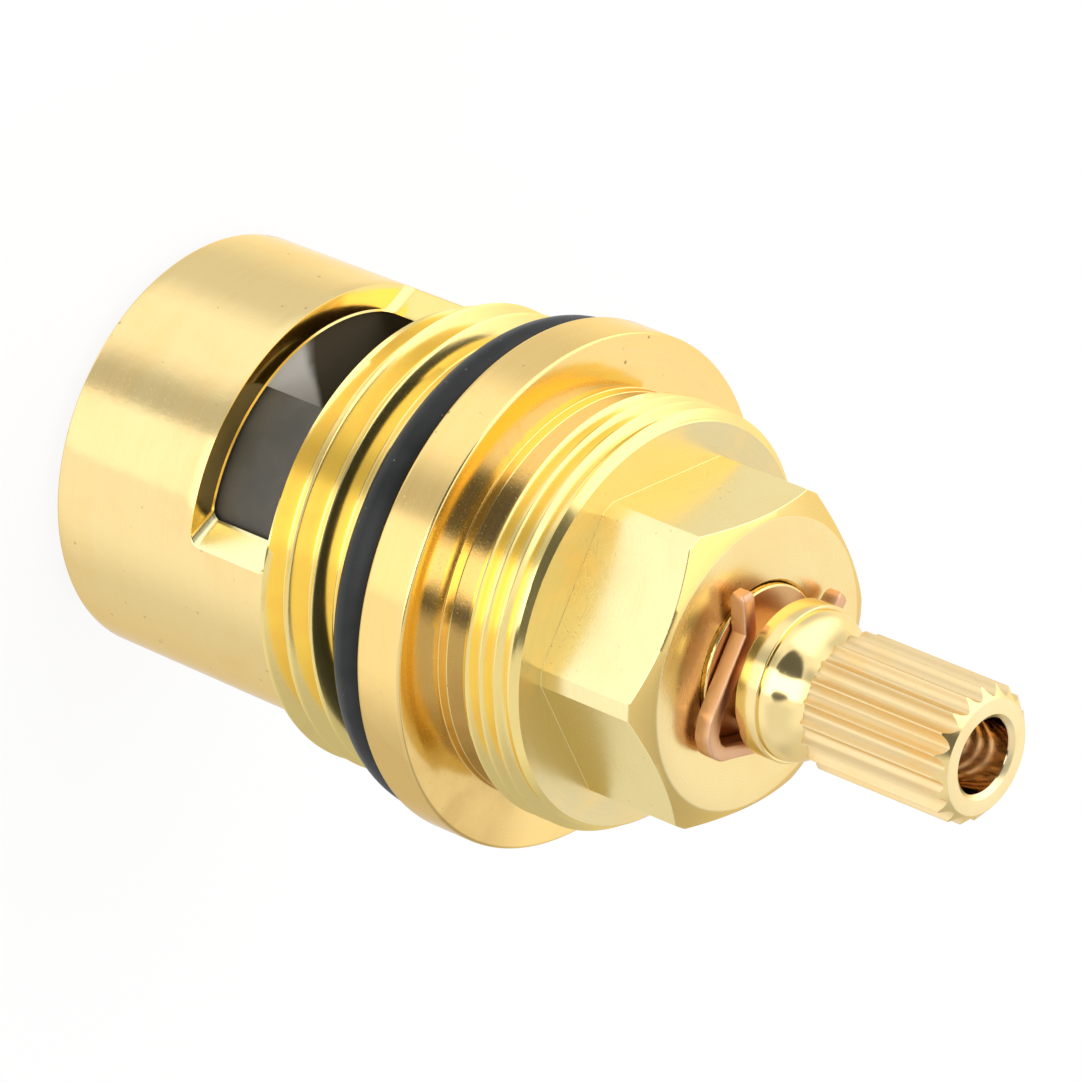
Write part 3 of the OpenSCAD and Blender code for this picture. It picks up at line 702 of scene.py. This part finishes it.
# an O-ring groove, from its middle: radius against height, with a broken edge on both sides
groove = ((s["journal"], -1.15), (s["journal"] - 0.1, -1.05), (s["grooveDepth"], -1.05),
          (s["grooveDepth"], 1.05), (s["journal"] - 0.1, 1.05), (s["journal"], 1.15))
for height in s["ringHeights"]:
    rows += [ring(radius, height + dz, angles) for radius, dz in groove]
rows += [ring(s["journal"], s["journalTop"] - 0.2, angles),
         ring(s["journal"] - 0.2, s["journalTop"], angles),
         ring(s["collar"], s["journalTop"], angles)]
rows += arcRows(s["collar"] - 0.12, s["headStart"] - 0.12, 0.12, 0, 90, 4, angles)
stemPatches = [patch(rows, "stemBrass")]
# the clip's groove, from the collar's top to the rim's underside, is painted dark red-brown as
# painted shade
rows = [rows[-1], ring(s["clipGroove"], s["headStart"], angles),
        ring(s["clipGroove"], s["rimLow"], angles), ring(s["rim"] - 0.15, s["rimLow"], angles)]
stemPatches.append(patch(rows, "grooveShadeBrass"))
rows = arcRows(s["rim"] - 0.15, s["rimLow"] + 0.15, 0.15, 270, 360, 5, angles)
rows += arcRows(s["rim"] - 0.1, s["rimTop"] - 0.1, 0.1, 0, 90, 5, angles)
# the bead rises straight from the rim, leans in as a round, and runs out in a hollow that ends
# where the spline starts
rows += arcRows(s["bead"] - s["beadRound"], s["rimTop"], s["beadRound"], 0, s["beadLean"], 12,
                angles)
turnZ = s["rimTop"] + s["beadRound"] * np.sin(np.radians(s["beadLean"]))
turnR = s["bead"] - s["beadRound"] * (1 - np.cos(np.radians(s["beadLean"])))
run = s["splineLow"] - turnZ
for t in np.linspace(0, 1, 15)[1:]:
    rows.append(ring(s["root"] + (turnR - s["root"]) * (1 - t) ** 2, turnZ + run * t, angles))
stemPatches.append(patch(rows, "stemBrass"))
chamferLow = s["tip"] - s["chamferSlope"] * (splineRadius - s["tipRadius"])
rows = [ring(s["root"], s["splineLow"], angles),
        ring(s["root"] + 0.7 * (splineRadius - s["root"]), s["splineLow"] + 0.1, angles),
        ring(splineRadius, s["splineLow"] + 0.3, angles)]
rows += [ring(splineRadius, z, angles) for z in np.linspace(47, 54, 8)]
rows.append(ring(splineRadius, chamferLow, angles))
stemPatches.append(patch(rows, "splineBrass"))
rows = [rows[-1], ring(s["tipRadius"] + 0.02, s["tip"] - 0.02, angles)]
stemPatches.append(patch(rows, "stemBrass"))
rows = [rows[-1], ring(s["tipRadius"] - 0.05, s["tip"], angles),
        ring(s["hole"] + 0.28, s["tip"], angles), ring(s["hole"] + 0.04, s["tip"] - 0.2, angles)]
stemPatches.append(patch(rows, "tipBrass"))
threadStart = s["tip"] - s["plainDepth"]
rows = [ring(s["hole"] + 0.04, s["tip"] - 0.2, angles), ring(s["hole"], s["tip"] - 0.26, angles),
        ring(s["hole"], threadStart, angles)]
stemPatches.append(patch(rows, "holeBrass"))
threadEnd = s["tip"] - s["threadDepth"]
# screw thread in the hole, fading out at 45 degrees at both ends; every second row is enough
holeThread = {"pitch": 0.8, "depth": 0.3, "halfAngle": 30, "crestFlat": 0.1, "rounding": 0.05,
              "rowStep": 2, "start": 50.0}


def holeLimit(z):
    return s["hole"] + np.minimum(threadStart - z, z - s["tip"] + s["threadDepth"])


rows = threadRows(holeThread, angles, threadEnd, threadStart, s["hole"] + holeThread["depth"],
                  holeLimit)
stemPatches.append(patch(rows, "holeBrass", wraps=False))
rows = [ring(s["hole"], threadEnd, angles), ring(s["hole"], s["tip"] - s["holeDepth"], angles),
        ring(0.0, s["tip"] - s["holeDepth"] - s["drillTip"], angles)]
stemPatches.append(patch(rows, "holeBrass"))
# the key that enters the moving disc
key = np.array([(-7, -2.3), (-6.8, -2.5), (6.8, -2.5), (7, -2.3), (7, 2.3), (6.8, 2.5),
                (-6.8, 2.5), (-7, 2.3)])
keyHeights = (13.22, 16.04)
stemPatches.append(patch(prism(key, *keyHeights), "stemBrass"))
makePiece("stem_turned", stemPatches,
          ["stemBrass", "splineBrass", "holeBrass", "grooveShadeBrass", "tipBrass"],
          "stem", "stem", turn=s["turn"])
print("stem built")


# Retaining clip: a flat bar bent along a route

clip = {"leg": [(4.86, -2.9), (3.53, -1.3), (3.53, 3.5), (3.15, 4.5), (2.5, 5.0), (1.8, 5.05),
                (1.0, 4.7)], "back": 4.05, "lean": 13.0, "bend": 0.4,
        "width": 0.9, "height": 1.05, "low": 40.28, "corner": 0.13, "turn": -48.0}
c = clip
t = np.radians(c["lean"])
leg = np.array(c["leg"]) @ np.array([[np.cos(t), -np.sin(t)], [np.sin(t), np.cos(t)]])
line = np.concatenate([leg, [(0, c["back"])], leg[::-1] * (-1, 1)])
# long stretches keep their straight part: extra points stand a bend's length from each corner
step = np.diff(line, axis=0)
share = np.minimum(c["bend"] / np.linalg.norm(step, axis=1), 0.5)[:, None]
line = np.concatenate([np.stack([line[:-1], line[:-1] + step * share, line[1:] - step * share],
                                1).reshape(-1, 2), line[-1:]])
for _ in range(3):  # corners cut three times round the bends
    near, far = line[:-1] * 0.75 + line[1:] * 0.25, line[:-1] * 0.25 + line[1:] * 0.75
    line = np.concatenate([line[:1], np.stack([near, far], 1).reshape(-1, 2)[1:-1], line[-1:]])
# points that fell together are dropped
line = line[np.append(True, np.linalg.norm(np.diff(line, axis=0), axis=1) > 1e-4)]
along = np.gradient(line, axis=0)
along /= np.linalg.norm(along, axis=1)[:, None]
side = np.column_stack([-along[:, 1], along[:, 0]])
# section of the bar: a rectangle with round corners
t = np.radians(np.arange(0, 360, 18) + 9)
k = c["corner"]
sectionX = np.sign(np.cos(t)) * (c["width"] / 2 - k) + k * np.cos(t)
sectionZ = np.sign(np.sin(t)) * (c["height"] / 2 - k) + k * np.sin(t)


def clipRow(point, sideways, scale=1.0):
    xy = point[None, :] + sideways[None, :] * (sectionX * scale)[:, None]
    return np.column_stack([xy, c["low"] + c["height"] / 2 + sectionZ * scale])


rows = [clipRow(p, q) for p, q in zip(line, side)]
caps = [(0.0, 1.0), (0.22, 0.93), (0.38, 0.72), (0.44, 0.0)]  # round ends: way out and size
rows = ([clipRow(line[0] - along[0] * d, side[0], m) for d, m in caps[:0:-1]] + rows
        + [clipRow(line[-1] + along[-1] * d, side[-1], m) for d, m in caps[1:]])
makePiece("retaining_clip_bent", [patch(rows, "clipBronze")], ["clipBronze"], "stem",
          "retaining_clip", turn=c["turn"], sharp=35)
print("clip built")


# Flange O-ring: a ring of round section with a faint parting line

oRing = {"radius": 12.82, "section": 1.3, "height": 23.08, "flash": 0.02, "flashWidth": 0.06}
o = oRing
v = np.linspace(0, 2 * np.pi, 49)
# the flash is a bell curve on the outside of the section, at its middle height
flash = o["flash"] * np.exp(-(np.sin(v) / o["flashWidth"]) ** 2) * (np.cos(v) > 0)
bulge = o["section"] + flash
ringAngles = np.arange(0, 360, 1.5)
rows = [ring(o["radius"] + r * np.cos(w), o["height"] + r * np.sin(w), ringAngles)
        for r, w in zip(bulge, v)]
makePiece("flange_o_ring_moulded", [patch(rows, "blackRubber")], ["blackRubber"], "housing",
          "flange_o_ring", sharp=60)
print("O-ring built")

# Pieces whose solid already has the right shape take their finish here
carried = {"moving_disc": "darkCeramic", "fixed_disc": "whiteCeramic", "base_seal": "blackRubber",
           "support_ring": "whitePlastic", "stem_o_ring_lower": "blackRubber",
           "stem_o_ring_upper": "blackRubber", "glide_washer": "whitePlastic"}
for name, finish in carried.items():
    for slot in nodes[name].material_slots:
        slot.link = "OBJECT"
        slot.material = materials[finish]
print("carried pieces finished")


# Studio: soft panels stand round the part; the camera sees plain white behind it

studio = {
    # each panel: where it starts and how softly, where it ends and how softly, and its gain
    "low": (0.83, [(-172.0, 12.0, -126.0, 24.0, 0.37), (-74.0, 12.0, -28.0, 12.0, 0.38),
                   (-24.0, 8.0, -5.0, 3.0, -0.2), (34.0, 3.0, 84.0, 20.0, 0.26)]),
    "high": (1.1, [(-130.0, 15.0, -45.0, 6.0, 0.7), (45.0, 5.0, 105.0, 15.0, -0.2),
                   (110.0, 15.0, 160.0, 15.0, -0.5)]),
    "window": {"from": -2.5, "fromHigh": 0.5, "to": 33.0, "toHigh": 27.0, "soft": 2.5,
               "low": 1.32, "high": 2.5, "top": 46.0},
    "shade": {"reach": 35.0, "soft": 3.0, "level": 0.14}, "shadow": 0.12}
world = bpy.data.worlds.new("studio")
scene.world = world
g = Graph(world)
way = g.node("ShaderNodeTexCoord")["Generated"]


def towards(direction):
    return g.node("ShaderNodeVectorMath", {"operation": "DOT_PRODUCT"}, {0: way, 1: direction},
                  "Value")


def blend(share, low, high):
    return (high - low) * share + low


high = towards(up)
bearing = g.maths("ARCTAN2", towards(across), towards(toCamera)) * (180 / np.pi)
halves = []
for base, panels in (studio["low"], studio["high"]):
    light = base + 0.0 * bearing  # a socket from the start
    for start, softStart, end, softEnd, gain in panels:
        light = light + (g.ease(bearing, start - softStart, start + softStart)
                         * (1.0 - g.ease(bearing, end - softEnd, end + softEnd)) * gain)
    halves.append(light)
light = blend(g.ease(high, -0.3, 0.25), *halves)
shade, glass = studio["shade"], studio["window"]
near, far = (float(np.cos(np.radians(shade["reach"] + d * shade["soft"]))) for d in (-1, 1))
light = blend(g.ease(towards(back), far, near), light, shade["level"])
rising = g.ease(high, 0.1, 0.45)
paneStart = blend(rising, glass["from"], glass["fromHigh"])
paneEnd = blend(rising, glass["to"], glass["toHigh"])
inWindowPane = (g.ease(bearing, paneStart - glass["soft"], paneStart + glass["soft"])
                * (1.0 - g.ease(bearing, paneEnd - glass["soft"], paneEnd + glass["soft"])))
topEdge = float(np.sin(np.radians(glass["top"])))
inWindowPane = inWindowPane * (1.0 - g.ease(high, topEdge - 0.02, topEdge + 0.02))
light = blend(inWindowPane, light, blend(g.ease(high, -0.62, 0.1), glass["low"], glass["high"]))
seen = g.node("ShaderNodeLightPath")["Is Camera Ray"]
glow = g.node("ShaderNodeBackground", None, {
    "Color": g.mix(seen, g.vector(light, light, light), (1.0, 1.0, 1.0)), "Strength": 1.0})
g.node("ShaderNodeOutputWorld", None, {0: glow})

floorSize = {"radius": 1400.0, "drop": 0.05}
a = np.arange(0, 360, 5.0)
floorMesh = bpy.data.meshes.new("floor")
floorMesh.from_pydata(ring(floorSize["radius"], -floorSize["drop"], a) * mm, [],
                      [list(range(len(a)))])
floor = bpy.data.objects.new("floor", floorMesh)
scene.collection.objects.link(floor)
paper = bpy.data.materials.new("floorPaper")
g = Graph(paper)
diffuse = g.node("ShaderNodeBsdfDiffuse", None, {"Color": (1, 1, 1, 1)})
glowing = g.node("ShaderNodeEmission", None, {"Color": (1, 1, 1, 1), "Strength": 1.0})
clear = g.node("ShaderNodeBsdfTransparent")
front = g.node("ShaderNodeMixShader", None, {0: studio["shadow"], 1: glowing, 2: diffuse})
behind = g.node("ShaderNodeNewGeometry")["Backfacing"]
g.node("ShaderNodeOutputMaterial", None, {
    0: g.node("ShaderNodeMixShader", None, {0: behind, 1: front, 2: clear})})
floorMesh.materials.append(paper)
floor.visible_glossy = floor.visible_diffuse = floor.visible_shadow = False
print("studio set")
